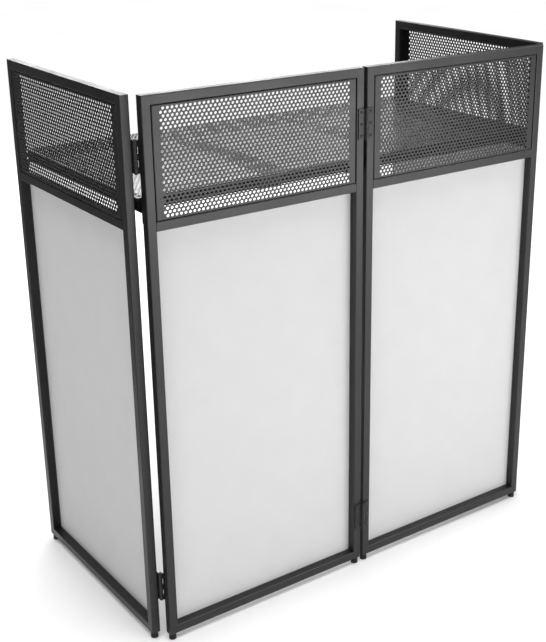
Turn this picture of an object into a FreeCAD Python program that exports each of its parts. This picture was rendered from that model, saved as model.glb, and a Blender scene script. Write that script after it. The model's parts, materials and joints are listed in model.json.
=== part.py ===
import FreeCAD, Part
import os
import Sketcher
from types import SimpleNamespace

# A folding DJ booth: two front panels, two wings and a lift-out table.
# X runs to the right along the front, Y to the rear, Z up. The origin is on the
# floor, in the middle of the footprint.

# Driving sizes in millimetres
SIZES = {
    # Welded panels of square tube
    "panel_width": 535.0,
    "panel_height": 1205.0,
    "tube_size": 20.0,
    "tube_wall": 1.2,
    "tube_corner": 2.0,
    # Gaps between neighbouring panels when they stand in line
    "centre_gap": 8.0,
    "wing_gap": 10.0,
    # Push-in rubber feet
    "foot_height": 15.0,
    "foot_diameter": 16.5,
    "foot_groove_rise": 7.0,
    "foot_groove_width": 2.0,
    "foot_groove_depth": 1.0,
    "foot_stem_diameter": 6.0,
    "foot_stem_length": 5.0,
    # Butt hinges
    "lower_hinge_rise": 118.0,
    "upper_hinge_drop": 120.5,
    "leaf_height": 67.0,
    "leaf_reach": 20.5,
    "leaf_thickness": 2.5,
    "barrel_diameter": 9.0,
    "knuckle_gap": 0.4,
    "pin_diameter": 4.0,
    "pin_head_diameter": 6.5,
    "pin_head_height": 1.5,
    "running_clearance": 0.05,
    # Hinge screws
    "screw_reach": 13.0,
    "screw_spacing": 26.0,
    "screw_diameter": 4.0,
    "screw_length": 9.0,
    "screw_head_diameter": 7.0,
    "screw_head_height": 1.6,
    "hole_clearance": 0.1,
    # Perforated grille pans
    "grille_sheet": 1.5,
    "grille_depth": 12.0,
    "grille_recess": 0.8,
    "grille_bend": 2.0,
    "grille_side_margin": 16.0,
    "grille_end_margin": 3.0,
    # Scrims and their hook-and-loop tape
    "scrim_thickness": 0.8,
    "scrim_overlap": 12.0,
    "tape_thickness": 1.2,
    "notch_clearance": 1.0,
    # Table: its deck is set down from the top of the panels, and the middle rails of the
    # panels lie a gap below its own rails
    "table_drop": 206.0,
    "table_gap": 19.0,
    "table_setback": 14.0,
    "table_rear_setback": 3.5,
    "table_side_gap": 7.5,
    "table_rail_width": 20.0,
    "table_rail_height": 24.25,
    "cross_member_offset": 175.0,
    "deck_sheet": 0.75,
    "deck_lip": 5.0,
    "deck_bend": 1.0,
    "deck_margin": 2.0,
    # Rubber buffers behind the front grilles, level with the table's front rail
    "buffer_width": 52.0,
    "buffer_height": 20.0,
    "buffer_depth": 10.0,
    "buffer_round": 2.0,
    "buffer_offset": 248.0,
    "buffer_lift": 7.0,
    # Table brackets on the posts
    "bracket_width": 18.0,
    "bracket_plate": 3.0,
    "bracket_leg": 24.0,
    "bracket_round": 4.0,
    # How far a cut runs past the surface it opens
    "cut_overrun": 0.5,
}

KNUCKLES = 5
SCREWS_PER_LEAF = 3
FULL_TURN = 360.0

# Openings of the sheets: across and up each grille, and across each bay of the deck and along it
GRILLE_COLUMNS = 12
GRILLE_ROWS = 6
DECK_BAY_COLUMNS = 4
DECK_ROWS = 6

# The side of an opening as a share of its pitch, which sets how open the sheets are
OPENING_SIDE_SHARE = 0.64

# How nearly an edge has to run along a direction to count as parallel to it
PARALLEL_SHARE = 0.999

doc = FreeCAD.newDocument("dj_booth")
sheet = doc.addObject("Spreadsheet::Sheet", "sizes")
for row, (alias, number) in enumerate(SIZES.items(), start=1):
    sheet.set(f"A{row}", alias)
    sheet.set(f"B{row}", str(number))
    sheet.setAlias(f"B{row}", alias)
doc.recompute()


# Sizes that carry their sheet expression

class Size:
    """A length and the sheet expression that gives it."""

    def __init__(self, text, value):
        self.text = text
        self.value = value

    def __add__(self, other):
        return Size(f"({self.text} + {other.text})", self.value + other.value)

    def __sub__(self, other):
        return Size(f"({self.text} - {other.text})", self.value - other.value)

    def __mul__(self, count):
        return Size(f"({self.text} * {count})", self.value * count)

    def __truediv__(self, count):
        return Size(f"({self.text} / {count})", self.value / count)

    def __neg__(self):
        return self * -1


size = SimpleNamespace(**{alias: Size(f"sizes.{alias}", float(sheet.get(alias))) for alias in SIZES})
zero = Size("0", 0.0)

# Directions along the axes
RIGHT = FreeCAD.Vector(1, 0, 0)
LEFT = FreeCAD.Vector(-1, 0, 0)
REAR = FreeCAD.Vector(0, 1, 0)
FRONT = FreeCAD.Vector(0, -1, 0)
UP = FreeCAD.Vector(0, 0, 1)
DOWN = FreeCAD.Vector(0, 0, -1)
UPRIGHT = (RIGHT, REAR, UP)

# Sizes that follow from the driving ones
half_tube = size.tube_size / 2
barrel_radius = size.barrel_diameter / 2
opening_width = size.panel_width - size.tube_size * 2
table_height = size.foot_height + size.panel_height - size.table_drop
rail_top = table_height - size.deck_sheet
rail_bottom = rail_top - size.table_rail_height
mid_rail_rise = rail_bottom - size.table_gap - size.tube_size - size.foot_height
grille_bottom = mid_rail_rise + size.tube_size
grille_height = size.panel_height - size.tube_size - grille_bottom
hinge_heights = (size.lower_hinge_rise, size.panel_height - size.upper_hinge_drop)
front_end = size.centre_gap / 2 + size.panel_width
wing_pin_x = front_end + size.wing_gap / 2
wing_inner_x = wing_pin_x + barrel_radius
wing_outer_x = wing_inner_x + size.tube_size
wing_front = size.tube_size + barrel_radius + size.wing_gap / 2
overall_depth = size.barrel_diameter + wing_front + size.panel_width
front_face = size.barrel_diameter - overall_depth / 2
wing_rear = front_face + wing_front + size.panel_width
table_half_width = wing_inner_x - size.table_side_gap
table_front = front_face + size.tube_size + size.table_setback
table_rear = wing_rear - size.table_rear_setback

nodes = []


# Drawing and placing

def bind(item, place, length):
    """Set a property of an object from the sheet."""
    item.setExpression(place, length.text)


def new_body(label):
    body = doc.addObject("PartDesign::Body", label)
    body.Label = label
    return body


def new_sketch(body, role, offset=zero):
    """A sketch on one of the body's own planes, moved along the plane's normal."""
    sketch = body.newObject("Sketcher::SketchObject", body.Name + "_sketch")
    plane = next(item for item in body.Origin.OriginFeatures if item.Role == role)
    sketch.AttachmentSupport = [(plane, "")]
    sketch.MapMode = "FlatFace"
    bind(sketch, "AttachmentOffset.Base.z", offset)
    return sketch


def hold_point(sketch, index, corner, point):
    """Tie a point of a sketch to the origin by its two sizes."""
    for kind, length in zip(("DistanceX", "DistanceY"), point):
        number = sketch.addConstraint(Sketcher.Constraint(kind, -1, 1, index, corner, length.value))
        bind(sketch, f"Constraints[{number}]", length)


def draw_outline(sketch, points):
    """A closed outline of straight lines through the points."""
    first = sketch.GeometryCount
    count = len(points)
    corners = [FreeCAD.Vector(across.value, along.value, 0) for across, along in points]
    for index in range(count):
        sketch.addGeometry(Part.LineSegment(corners[index], corners[(index + 1) % count]))
    for index in range(count):
        after = first + (index + 1) % count
        sketch.addConstraint(Sketcher.Constraint("Coincident", first + index, 2, after, 1))
    for index, point in enumerate(points):
        hold_point(sketch, first + index, 1, point)


def rectangle(left, bottom, right, top):
    return [(left, bottom), (right, bottom), (right, top), (left, top)]


def draw_circle(sketch, point, diameter):
    centre = FreeCAD.Vector(point[0].value, point[1].value, 0)
    index = sketch.addGeometry(Part.Circle(centre, FreeCAD.Vector(0, 0, 1), diameter.value / 2))
    hold_point(sketch, index, 3, point)
    number = sketch.addConstraint(Sketcher.Constraint("Diameter", index, diameter.value))
    bind(sketch, f"Constraints[{number}]", diameter)


def pad(body, sketch, length, turned=False, both_sides=False):
    feature = body.newObject("PartDesign::Pad", body.Name + "_pad")
    feature.Profile = sketch
    feature.Reversed = turned
    feature.SideType = "Symmetric" if both_sides else "One side"
    bind(feature, "Length", length)
    doc.recompute()
    return feature


def pocket(body, sketch, length, turned=False, both_sides=False):
    before = body.Tip.Shape.Volume
    feature = body.newObject("PartDesign::Pocket", body.Name + "_pocket")
    feature.Profile = sketch
    feature.Reversed = turned
    feature.SideType = "Symmetric" if both_sides else "One side"
    bind(feature, "Length", length)
    doc.recompute()
    if not feature.Shape.Volume < before:
        raise RuntimeError(f"{body.Label}: a pocket cuts nothing")
    return feature


def cut_grid(body, role, area, columns, rows, depth, turned=False):
    """A plain grid of openings over an area of a sheet: one pocket, repeated both ways."""
    left, bottom, right, top = area
    across = (right - left) / columns
    along = (top - bottom) / rows
    wide = across * OPENING_SIDE_SHARE
    high = along * OPENING_SIDE_SHARE
    first_left = left + (across - wide) / 2
    first_bottom = bottom + (along - high) / 2
    sketch = new_sketch(body, role)
    draw_outline(sketch, rectangle(first_left, first_bottom, first_left + wide, first_bottom + high))
    opening = pocket(body, sketch, depth, turned)
    grid = body.newObject("PartDesign::LinearPattern", body.Name + "_grid")
    grid.Originals = [opening]
    grid.Direction = (sketch, ["H_Axis"])
    grid.Direction2 = (sketch, ["V_Axis"])
    grid.Occurrences = columns
    grid.Occurrences2 = rows
    bind(grid, "Length", across * (columns - 1))
    bind(grid, "Length2", along * (rows - 1))
    body.Tip = grid
    doc.recompute()
    if not grid.Shape.Volume < opening.Shape.Volume:
        raise RuntimeError(f"{body.Label}: a pattern of openings cuts nothing")
    return grid


def spin(body, outline):
    """A solid of revolution about Z from a half outline in X and Z."""
    sketch = new_sketch(body, "XZ_Plane")
    draw_outline(sketch, outline)
    feature = body.newObject("PartDesign::Revolution", body.Name + "_revolution")
    feature.Profile = sketch
    feature.ReferenceAxis = (sketch, ["V_Axis"])
    feature.Angle = FULL_TURN
    doc.recompute()
    return feature


def round_edges(body, wanted, radius):
    """Round the edges of the body that the test picks out."""
    base = body.Tip
    edges = [f"Edge{number}" for number, edge in enumerate(base.Shape.Edges, start=1) if wanted(edge)]
    feature = body.newObject("PartDesign::Fillet", body.Name + "_fillet")
    feature.Base = (base, edges)
    bind(feature, "Radius", radius)
    doc.recompute()
    return feature


def runs_along(edge, direction):
    return abs(edge.tangentAt(edge.FirstParameter).dot(direction)) > PARALLEL_SHARE


class Stand:
    """A place in the booth, turned about Z by quarter turns, that pieces are set in."""

    def __init__(self, quarter_turns, along, across, rise):
        self.cosine = (1, 0, -1, 0)[quarter_turns % 4]
        self.sine = (0, 1, 0, -1)[quarter_turns % 4]
        self.origin = (along, across, rise)

    def turn(self, direction):
        along = direction.x * self.cosine - direction.y * self.sine
        across = direction.x * self.sine + direction.y * self.cosine
        return FreeCAD.Vector(along, across, direction.z)

    def place(self, item, axes, point):
        """Set an object at a point of the stand, with its own axes along the given directions."""
        x_axis, y_axis, z_axis = (self.turn(direction) for direction in axes)
        item.Placement.Rotation = FreeCAD.Rotation(x_axis, y_axis, z_axis, "XYZ")
        along = self.origin[0] + point[0] * self.cosine - point[1] * self.sine
        across = self.origin[1] + point[0] * self.sine + point[1] * self.cosine
        for axis, length in zip("xyz", (along, across, self.origin[2] + point[2])):
            bind(item, f"Placement.Base.{axis}", length)
        return item


def node(item):
    nodes.append(item)
    return item


def group(label, master, places):
    """One node of separate solids, each a linked copy of a master at its own place."""
    links = []
    for stand, axes, point in places:
        link = doc.addObject("App::Link", label + "_copy")
        link.LinkedObject = master
        stand.place(link, axes, point)
        links.append(link)
    compound = doc.addObject("Part::Compound", label)
    compound.Label = label
    compound.Links = links
    return node(compound)


# Tubes

def tube(label, length, across, deep, mitre):
    """A hollow tube along X with its outer face on Z = 0 and its ends mitred towards +Z."""
    body = new_body(label)
    side = new_sketch(body, "XZ_Plane")
    draw_outline(side, [(zero, zero), (length, zero), (length - mitre, deep), (mitre, deep)])
    pad(body, side, across, turned=True)
    round_edges(body, lambda edge: runs_along(edge, RIGHT), size.tube_corner)
    wall = size.tube_wall
    bore = new_sketch(body, "YZ_Plane")
    draw_outline(bore, rectangle(wall, wall, across - wall, deep - wall))
    pocket(body, bore, length + size.cut_overrun, turned=True)
    return body


def drill_leaf_holes(body, gap, places):
    """Screw holes for two hinge leaves in the face Y = 0 of a post, at places along it."""
    sketch = new_sketch(body, "XZ_Plane")
    diameter = size.screw_diameter + size.hole_clearance * 2
    for place in places:
        for step in leaf_steps():
            draw_circle(sketch, (place + step, size.screw_reach - gap / 2), diameter)
    pocket(body, sketch, size.tube_wall + size.cut_overrun)


def drill_foot_holes(body):
    """A hole near each end of a bottom rail, in its outer face, for the foot stems."""
    sketch = new_sketch(body, "XY_Plane")
    diameter = size.foot_stem_diameter + size.hole_clearance * 2
    for along in (half_tube, size.panel_width - half_tube):
        draw_circle(sketch, (along, half_tube), diameter)
    pocket(body, sketch, size.tube_wall + size.cut_overrun, turned=True)


def leaf_steps():
    """Heights of a leaf's screws above the middle of the leaf."""
    middle = (SCREWS_PER_LEAF - 1) / 2
    return [size.screw_spacing * (number - middle) for number in range(SCREWS_PER_LEAF)]


# Small pieces that repeat

def make_leaf(label, knuckle_steps):
    """A hinge leaf about the pin's axis, with its plate towards +X and its seat facing -Y."""
    body = new_body(label)
    seat = -barrel_radius
    face = seat + size.leaf_thickness
    relief = barrel_radius + size.knuckle_gap
    plate = new_sketch(body, "XY_Plane")
    draw_outline(plate, rectangle(relief, seat, size.leaf_reach, face))
    pad(body, plate, size.leaf_height, both_sides=True)
    pitch = size.leaf_height / KNUCKLES
    for step in knuckle_steps:
        neck = new_sketch(body, "XY_Plane", pitch * step)
        draw_outline(neck, rectangle(zero, seat, relief, face))
        pad(body, neck, pitch - size.knuckle_gap, both_sides=True)
        barrel = new_sketch(body, "XY_Plane", pitch * step)
        draw_circle(barrel, (zero, zero), size.barrel_diameter)
        pad(body, barrel, pitch - size.knuckle_gap, both_sides=True)
    bore = new_sketch(body, "XY_Plane")
    draw_circle(bore, (zero, zero), size.pin_diameter + size.running_clearance * 2)
    pocket(body, bore, size.leaf_height + size.cut_overrun, both_sides=True)
    holes = new_sketch(body, "XZ_Plane")
    for step in leaf_steps():
        draw_circle(holes, (size.screw_reach, step), size.screw_diameter + size.hole_clearance * 2)
    pocket(body, holes, barrel_radius + size.cut_overrun, turned=True)
    return body


def make_pin():
    """A hinge pin with a flat head at each end."""
    body = new_body("hinge_pin_master")
    shank = size.pin_diameter / 2
    head = size.pin_head_diameter / 2
    under = size.leaf_height / 2
    end = under + size.pin_head_height
    spin(body, [(zero, -end), (head, -end), (head, -under), (shank, -under),
                (shank, under), (head, under), (head, end), (zero, end)])
    return body


def make_screw():
    """A hinge screw pointing down -Z, with the seat of its head at Z = 0."""
    body = new_body("hinge_screw_master")
    shank = size.screw_diameter / 2
    head = size.screw_head_diameter / 2
    top = size.screw_head_height
    spin(body, [(zero, -size.screw_length), (shank, -size.screw_length), (shank, zero),
                (head, zero), (head, top / 2), (shank, top), (zero, top)])
    return body


def make_foot():
    """A grooved rubber foot below Z = 0, with its push-in stem above."""
    body = new_body("foot_master")
    radius = size.foot_diameter / 2
    waist = radius - size.foot_groove_depth
    stem = size.foot_stem_diameter / 2
    low = size.foot_groove_rise - size.foot_height
    high = low + size.foot_groove_width
    spin(body, [(zero, -size.foot_height), (radius, -size.foot_height), (radius, low), (waist, low),
                (waist, high), (radius, high), (radius, zero), (stem, zero),
                (stem, size.foot_stem_length), (zero, size.foot_stem_length)])
    return body


def make_bracket():
    """A welded ledge: its leg lies on a post's rear face at Y = 0, its top is at Z = 0."""
    body = new_body("table_bracket_master")
    reach = size.table_setback + size.deck_sheet + size.table_rail_width
    plate = size.bracket_plate
    side = new_sketch(body, "YZ_Plane")
    draw_outline(side, [(zero, zero), (reach, zero), (reach, -plate), (plate, -plate),
                        (plate, -size.bracket_leg), (zero, -size.bracket_leg)])
    pad(body, side, size.bracket_width, both_sides=True)
    tip = reach.value - size.cut_overrun.value
    round_edges(body, lambda edge: runs_along(edge, UP) and edge.CenterOfMass.y > tip, size.bracket_round)
    return body


outer_leaf = make_leaf("outer_leaf_master", (-2, 0, 2))
inner_leaf = make_leaf("inner_leaf_master", (-1, 1))
hinge_pin = make_pin()
hinge_screw = make_screw()
foot = make_foot()
bracket = make_bracket()


# Panels

def add_frame(name, stand, left_post, right_post):
    """The five tubes of a panel. A post is (name, gap of its hinge or None, hinge on the rear)."""
    width = size.panel_width
    height = size.panel_height
    deep = size.tube_size
    left_axes = {False: (DOWN, REAR, RIGHT), True: (UP, FRONT, RIGHT)}
    right_axes = {False: (UP, REAR, LEFT), True: (DOWN, FRONT, LEFT)}
    for edge, axes_of, (title, gap, rear) in ((zero, left_axes, left_post), (width, right_axes, right_post)):
        post = node(tube(f"{name}_{title}_post", height, deep, deep, deep))
        axes = axes_of[rear]
        hangs = axes[0] == DOWN
        if gap is not None:
            drill_leaf_holes(post, gap, [height - rise if hangs else rise for rise in hinge_heights])
        stand.place(post, axes, (edge, deep if rear else zero, height if hangs else zero))
    bottom = node(tube(f"{name}_bottom_rail", width, deep, deep, deep))
    drill_foot_holes(bottom)
    stand.place(bottom, UPRIGHT, (zero, zero, zero))
    middle = node(tube(f"{name}_mid_rail", opening_width, deep, deep, zero))
    stand.place(middle, UPRIGHT, (deep, zero, mid_rail_rise))
    top = node(tube(f"{name}_top_rail", width, deep, deep, deep))
    stand.place(top, (LEFT, REAR, DOWN), (width, zero, height))


def add_grille(name, stand):
    """A shallow pan of openwork sheet that fills the upper opening."""
    body = node(new_body(f"{name}_grille"))
    front = new_sketch(body, "XZ_Plane")
    draw_outline(front, rectangle(zero, zero, opening_width, grille_height))
    pad(body, front, size.grille_depth, turned=True)
    near = size.cut_overrun.value
    round_edges(body, lambda edge: edge.BoundBox.YMax < near, size.grille_bend)
    sheet_edge = size.grille_sheet
    inside = new_sketch(body, "XZ_Plane", -size.grille_depth)
    draw_outline(inside, rectangle(sheet_edge, sheet_edge, opening_width - sheet_edge,
                                   grille_height - sheet_edge))
    pocket(body, inside, size.grille_depth - sheet_edge, turned=True)
    side = size.grille_side_margin
    end = size.grille_end_margin
    cut_grid(body, "XZ_Plane", (side, end, opening_width - side, grille_height - end),
             GRILLE_COLUMNS, GRILLE_ROWS, sheet_edge + size.cut_overrun)
    stand.place(body, UPRIGHT, (size.tube_size, size.grille_recess, grille_bottom))


def scrim_outline():
    """The scrim's edge, seen from the front, with a notch at the left for the lower hinge leaf."""
    overlap = size.scrim_overlap
    left = size.tube_size - overlap
    right = size.panel_width - left
    top = mid_rail_rise + overlap
    notch = size.leaf_reach - size.wing_gap / 2 + size.notch_clearance
    half_notch = size.leaf_height / 2 + size.notch_clearance
    low = size.lower_hinge_rise - half_notch
    high = size.lower_hinge_rise + half_notch
    return [(left, left), (right, left), (right, top), (left, top),
            (left, high), (notch, high), (notch, low), (left, low)]


def add_scrim(name, stand, hinge_on_left):
    """The stretched scrim and the ring of tape that holds it on the rear of the tubes."""
    tube_edge = size.tube_size
    tape = node(new_body(f"{name}_scrim_tape"))
    ring = new_sketch(tape, "XZ_Plane")
    draw_outline(ring, scrim_outline())
    draw_outline(ring, rectangle(tube_edge, tube_edge, size.panel_width - tube_edge, mid_rail_rise))
    pad(tape, ring, size.tape_thickness, turned=True)
    scrim = node(new_body(f"{name}_scrim"))
    cloth = new_sketch(scrim, "XZ_Plane")
    draw_outline(cloth, scrim_outline())
    pad(scrim, cloth, size.scrim_thickness, turned=True)
    for body, rear, thickness in ((tape, tube_edge, size.tape_thickness),
                                  (scrim, tube_edge + size.tape_thickness, size.scrim_thickness)):
        if hinge_on_left:
            stand.place(body, UPRIGHT, (zero, rear, zero))
        else:
            stand.place(body, (LEFT, FRONT, UP), (size.panel_width, rear + thickness, zero))


def add_feet(name, stand):
    places = [(stand, UPRIGHT, (along, half_tube, zero))
              for along in (half_tube, size.panel_width - half_tube)]
    group(f"{name}_feet", foot, places)


def add_brackets(label, stand, posts):
    rise = rail_bottom - size.foot_height
    group(label, bracket, [(stand, UPRIGHT, (along, size.tube_size, rise)) for along in posts])


def add_buffer(name, stand, along):
    """A rubber block on the rear of a front grille."""
    body = node(new_body(f"{name}_buffer"))
    half_width = size.buffer_width / 2
    half_height = size.buffer_height / 2
    face = new_sketch(body, "XZ_Plane")
    draw_outline(face, rectangle(-half_width, -half_height, half_width, half_height))
    pad(body, face, size.buffer_depth, turned=True)
    rear = (size.buffer_depth - size.cut_overrun).value
    round_edges(body, lambda edge: edge.BoundBox.YMin > rear, size.buffer_round)
    rise = rail_bottom + size.table_rail_height / 2 + size.buffer_lift - size.foot_height
    stand.place(body, UPRIGHT, (along, size.grille_recess + size.grille_sheet, rise))


left_centre = half_tube
right_centre = size.panel_width - half_tube
stands = {
    "left_wing": Stand(-1, -wing_outer_x, wing_rear, size.foot_height),
    "front_left": Stand(0, -front_end, front_face, size.foot_height),
    "front_right": Stand(0, size.centre_gap / 2, front_face, size.foot_height),
    "right_wing": Stand(1, wing_outer_x, front_face + wing_front, size.foot_height),
}
wing_hinge = (size.wing_gap, True)
centre_hinge = (size.centre_gap, False)
no_hinge = (None, False)
add_frame("left_wing", stands["left_wing"], ("rear", *no_hinge), ("hinge", *wing_hinge))
add_frame("front_left", stands["front_left"], ("outer", *wing_hinge), ("centre", *centre_hinge))
add_frame("front_right", stands["front_right"], ("centre", *centre_hinge), ("outer", *wing_hinge))
add_frame("right_wing", stands["right_wing"], ("hinge", *wing_hinge), ("rear", *no_hinge))
for name, stand in stands.items():
    add_grille(name, stand)
    add_scrim(name, stand, hinge_on_left=name in ("front_left", "right_wing"))
    add_feet(name, stand)
add_buffer("front_left", stands["front_left"], front_end - size.buffer_offset)
add_buffer("front_right", stands["front_right"], size.buffer_offset - size.centre_gap / 2)
add_brackets("left_wing_table_bracket", stands["left_wing"], [left_centre])
add_brackets("front_left_table_brackets", stands["front_left"], [left_centre, right_centre])
add_brackets("front_right_table_brackets", stands["front_right"], [left_centre, right_centre])
add_brackets("right_wing_table_bracket", stands["right_wing"], [right_centre])


# Hinges

class Hinge:
    """An upper and a lower butt hinge on one vertical line."""

    def __init__(self, name, along, across):
        self.name = name
        self.stands = [Stand(0, along, across, size.foot_height + height) for height in hinge_heights]

    def leaves(self, label, master, axes):
        group(f"{self.name}_{label}", master, [(stand, axes, (zero, zero, zero)) for stand in self.stands])

    def pins(self):
        group(f"{self.name}_pins", hinge_pin, [(stand, UPRIGHT, (zero, zero, zero)) for stand in self.stands])

    def screw_places(self, axes):
        """Places of the screws of the leaves with these axes."""
        plate, outward, height = axes
        head = size.leaf_thickness - barrel_radius
        places = []
        for stand in self.stands:
            for step in leaf_steps():
                along = size.screw_reach * int(plate.x) + head * int(outward.x)
                across = size.screw_reach * int(plate.y) + head * int(outward.y)
                places.append((stand, (plate, -height, outward), (along, across, step)))
        return places


wing_pin_y = front_face + size.tube_size + barrel_radius
left_hinge = Hinge("left_hinge", -wing_pin_x, wing_pin_y)
centre_hinges = Hinge("centre_hinge", zero, front_face - barrel_radius)
right_hinge = Hinge("right_hinge", wing_pin_x, wing_pin_y)

# Axes of each pair of leaves: along the plate, away from the tube, along the pin
on_front_left = (RIGHT, REAR, UP)
on_left_wing = (REAR, RIGHT, DOWN)
on_front_right = (LEFT, REAR, DOWN)
on_right_wing = (REAR, LEFT, UP)
on_centre_left = (LEFT, FRONT, UP)
on_centre_right = (RIGHT, FRONT, DOWN)
left_hinge.leaves("front_leaves", outer_leaf, on_front_left)
left_hinge.leaves("wing_leaves", inner_leaf, on_left_wing)
centre_hinges.leaves("left_leaves", outer_leaf, on_centre_left)
centre_hinges.leaves("right_leaves", inner_leaf, on_centre_right)
right_hinge.leaves("front_leaves", outer_leaf, on_front_right)
right_hinge.leaves("wing_leaves", inner_leaf, on_right_wing)
for hinge in (left_hinge, centre_hinges, right_hinge):
    hinge.pins()
group("left_wing_hinge_screws", hinge_screw, left_hinge.screw_places(on_left_wing))
group("front_left_hinge_screws", hinge_screw,
      left_hinge.screw_places(on_front_left) + centre_hinges.screw_places(on_centre_left))
group("front_right_hinge_screws", hinge_screw,
      centre_hinges.screw_places(on_centre_right) + right_hinge.screw_places(on_front_right))
group("right_wing_hinge_screws", hinge_screw, right_hinge.screw_places(on_right_wing))


# Table

table = Stand(0, zero, zero, zero)
frame_left = size.deck_sheet - table_half_width
frame_right = table_half_width - size.deck_sheet
frame_front = table_front + size.deck_sheet
frame_rear = table_rear - size.deck_sheet
rail_wide = size.table_rail_width
rail_high = size.table_rail_height
long_rail = frame_right - frame_left
side_rail = frame_rear - frame_front

front_rail = node(tube("table_front_rail", long_rail, rail_high, rail_wide, rail_wide))
table.place(front_rail, (RIGHT, DOWN, REAR), (frame_left, frame_front, rail_top))
rear_rail = node(tube("table_rear_rail", long_rail, rail_high, rail_wide, rail_wide))
table.place(rear_rail, (LEFT, DOWN, FRONT), (frame_right, frame_rear, rail_top))
left_rail = node(tube("table_left_rail", side_rail, rail_high, rail_wide, rail_wide))
table.place(left_rail, (FRONT, DOWN, RIGHT), (frame_left, frame_rear, rail_top))
right_rail = node(tube("table_right_rail", side_rail, rail_high, rail_wide, rail_wide))
table.place(right_rail, (REAR, DOWN, LEFT), (frame_right, frame_front, rail_top))
for side, offset in (("left", -size.cross_member_offset), ("right", size.cross_member_offset)):
    member = node(tube(f"table_{side}_cross_member", side_rail - rail_wide * 2, rail_high, rail_wide, zero))
    table.place(member, (FRONT, DOWN, RIGHT), (offset - rail_wide / 2, frame_rear - rail_wide, rail_top))


def add_deck():
    """The deck: a sheet on the rails, open between them, with a lip turned down round them."""
    body = node(new_body("table_deck"))
    outline = new_sketch(body, "XY_Plane")
    draw_outline(outline, rectangle(-table_half_width, table_front, table_half_width, table_rear))
    pad(body, outline, size.deck_lip + size.deck_sheet)
    top = (size.deck_lip + size.deck_sheet - size.cut_overrun).value
    round_edges(body, lambda edge: edge.BoundBox.ZMin > top, size.deck_bend)
    inside = new_sketch(body, "XY_Plane")
    draw_outline(inside, rectangle(frame_left, frame_front, frame_right, frame_rear))
    pocket(body, inside, size.deck_lip, turned=True)
    margin = size.deck_margin
    member_side = size.cross_member_offset + rail_wide / 2 + margin
    middle_side = size.cross_member_offset - rail_wide / 2 - margin
    outer_side = frame_right - rail_wide - margin
    front_side = frame_front + rail_wide + margin
    rear_side = frame_rear - rail_wide - margin
    for left, right in ((-outer_side, -member_side), (-middle_side, middle_side), (member_side, outer_side)):
        cut_grid(body, "XY_Plane", (left, front_side, right, rear_side), DECK_BAY_COLUMNS, DECK_ROWS,
                 size.deck_lip + size.deck_sheet + size.cut_overrun, turned=True)
    table.place(body, UPRIGHT, (zero, zero, rail_top - size.deck_lip))


add_deck()


# Check and write

doc.recompute()
for item in doc.Objects:
    if "Invalid" in item.State or "Error" in item.State:
        raise RuntimeError(f"{item.Label} failed to build")
for item in nodes:
    if item.Shape.isNull() or not item.Shape.isValid():
        raise RuntimeError(f"{item.Label} has no valid shape")
os.makedirs("parts", exist_ok=True)
for item in nodes:
    item.Shape.exportStep(f"parts/{item.Label}.step")
print(f"{len(nodes)} pieces written")
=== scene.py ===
import json
import math

import bmesh
import bpy
from mathutils import Matrix, Vector


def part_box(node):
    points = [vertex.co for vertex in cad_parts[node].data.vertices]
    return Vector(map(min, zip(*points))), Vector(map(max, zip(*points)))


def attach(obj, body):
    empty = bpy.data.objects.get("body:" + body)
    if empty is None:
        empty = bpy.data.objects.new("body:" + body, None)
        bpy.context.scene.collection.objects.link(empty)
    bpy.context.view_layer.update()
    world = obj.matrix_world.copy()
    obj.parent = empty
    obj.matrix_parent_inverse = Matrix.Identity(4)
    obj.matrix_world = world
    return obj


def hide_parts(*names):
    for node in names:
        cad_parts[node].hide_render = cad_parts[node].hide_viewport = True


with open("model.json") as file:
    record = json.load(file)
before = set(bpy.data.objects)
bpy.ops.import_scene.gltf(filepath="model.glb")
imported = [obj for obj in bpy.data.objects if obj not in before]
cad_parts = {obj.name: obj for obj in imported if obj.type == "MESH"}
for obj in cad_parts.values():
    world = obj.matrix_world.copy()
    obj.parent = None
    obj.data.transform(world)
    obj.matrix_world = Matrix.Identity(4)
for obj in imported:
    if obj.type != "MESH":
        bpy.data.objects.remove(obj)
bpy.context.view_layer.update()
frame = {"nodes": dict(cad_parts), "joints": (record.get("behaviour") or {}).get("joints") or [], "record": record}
nodes = frame["nodes"]
joints = {joint["name"]: joint for joint in frame["joints"]}
scene = bpy.context.scene
right = Vector((1, 0, 0))
rear = Vector((0, 1, 0))
up = Vector((0, 0, 1))


# camera at the photograph's angle, sizes of the picture in pixels
view = {
    "width": 546,
    "height": 642,
    "focal": 1192.3,
    "centreAcross": 331.2,  # where the camera's axis meets the picture
    "centreDown": 305.9,
    "sensor": 36.0,  # millimetres along the long side
    "eye": (-1.5872, -2.2741, 1.6387),
    "aim": (0.5608, 0.7492, -0.3525),
}


def addCamera():
    data = bpy.data.cameras.new("photoCamera")
    longSide = max(view["width"], view["height"])
    data.sensor_width = view["sensor"]
    data.lens = view["focal"] / longSide * view["sensor"]
    data.shift_x = (view["width"] / 2 - view["centreAcross"]) / longSide
    data.shift_y = (view["centreDown"] - view["height"] / 2) / longSide
    camera = bpy.data.objects.new("photoCamera", data)
    camera.location = view["eye"]
    camera.rotation_mode = "QUATERNION"
    camera.rotation_quaternion = Vector(view["aim"]).to_track_quat("-Z", "Y")
    scene.collection.objects.link(camera)
    scene.camera = camera


addCamera()
print("camera set")


# node trees, for shaders and geometry alike
number = "NodeSocketFloat"
whole = "NodeSocketInt"
colour = "NodeSocketColor"
vector = "NodeSocketVector"
shape = "NodeSocketGeometry"


def addNode(tree, kind, inputs=None, **settings):
    node = tree.nodes.new(kind)
    for name, value in settings.items():
        setattr(node, name, value)
    for name, value in (inputs or {}).items():
        if isinstance(value, bpy.types.NodeSocket):
            tree.links.new(value, node.inputs[name])
        else:
            node.inputs[name].default_value = value
    return node


def addMath(tree, operation, first, second=0.0):
    return addNode(tree, "ShaderNodeMath", {0: first, 1: second}, operation=operation).outputs[0]


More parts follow.
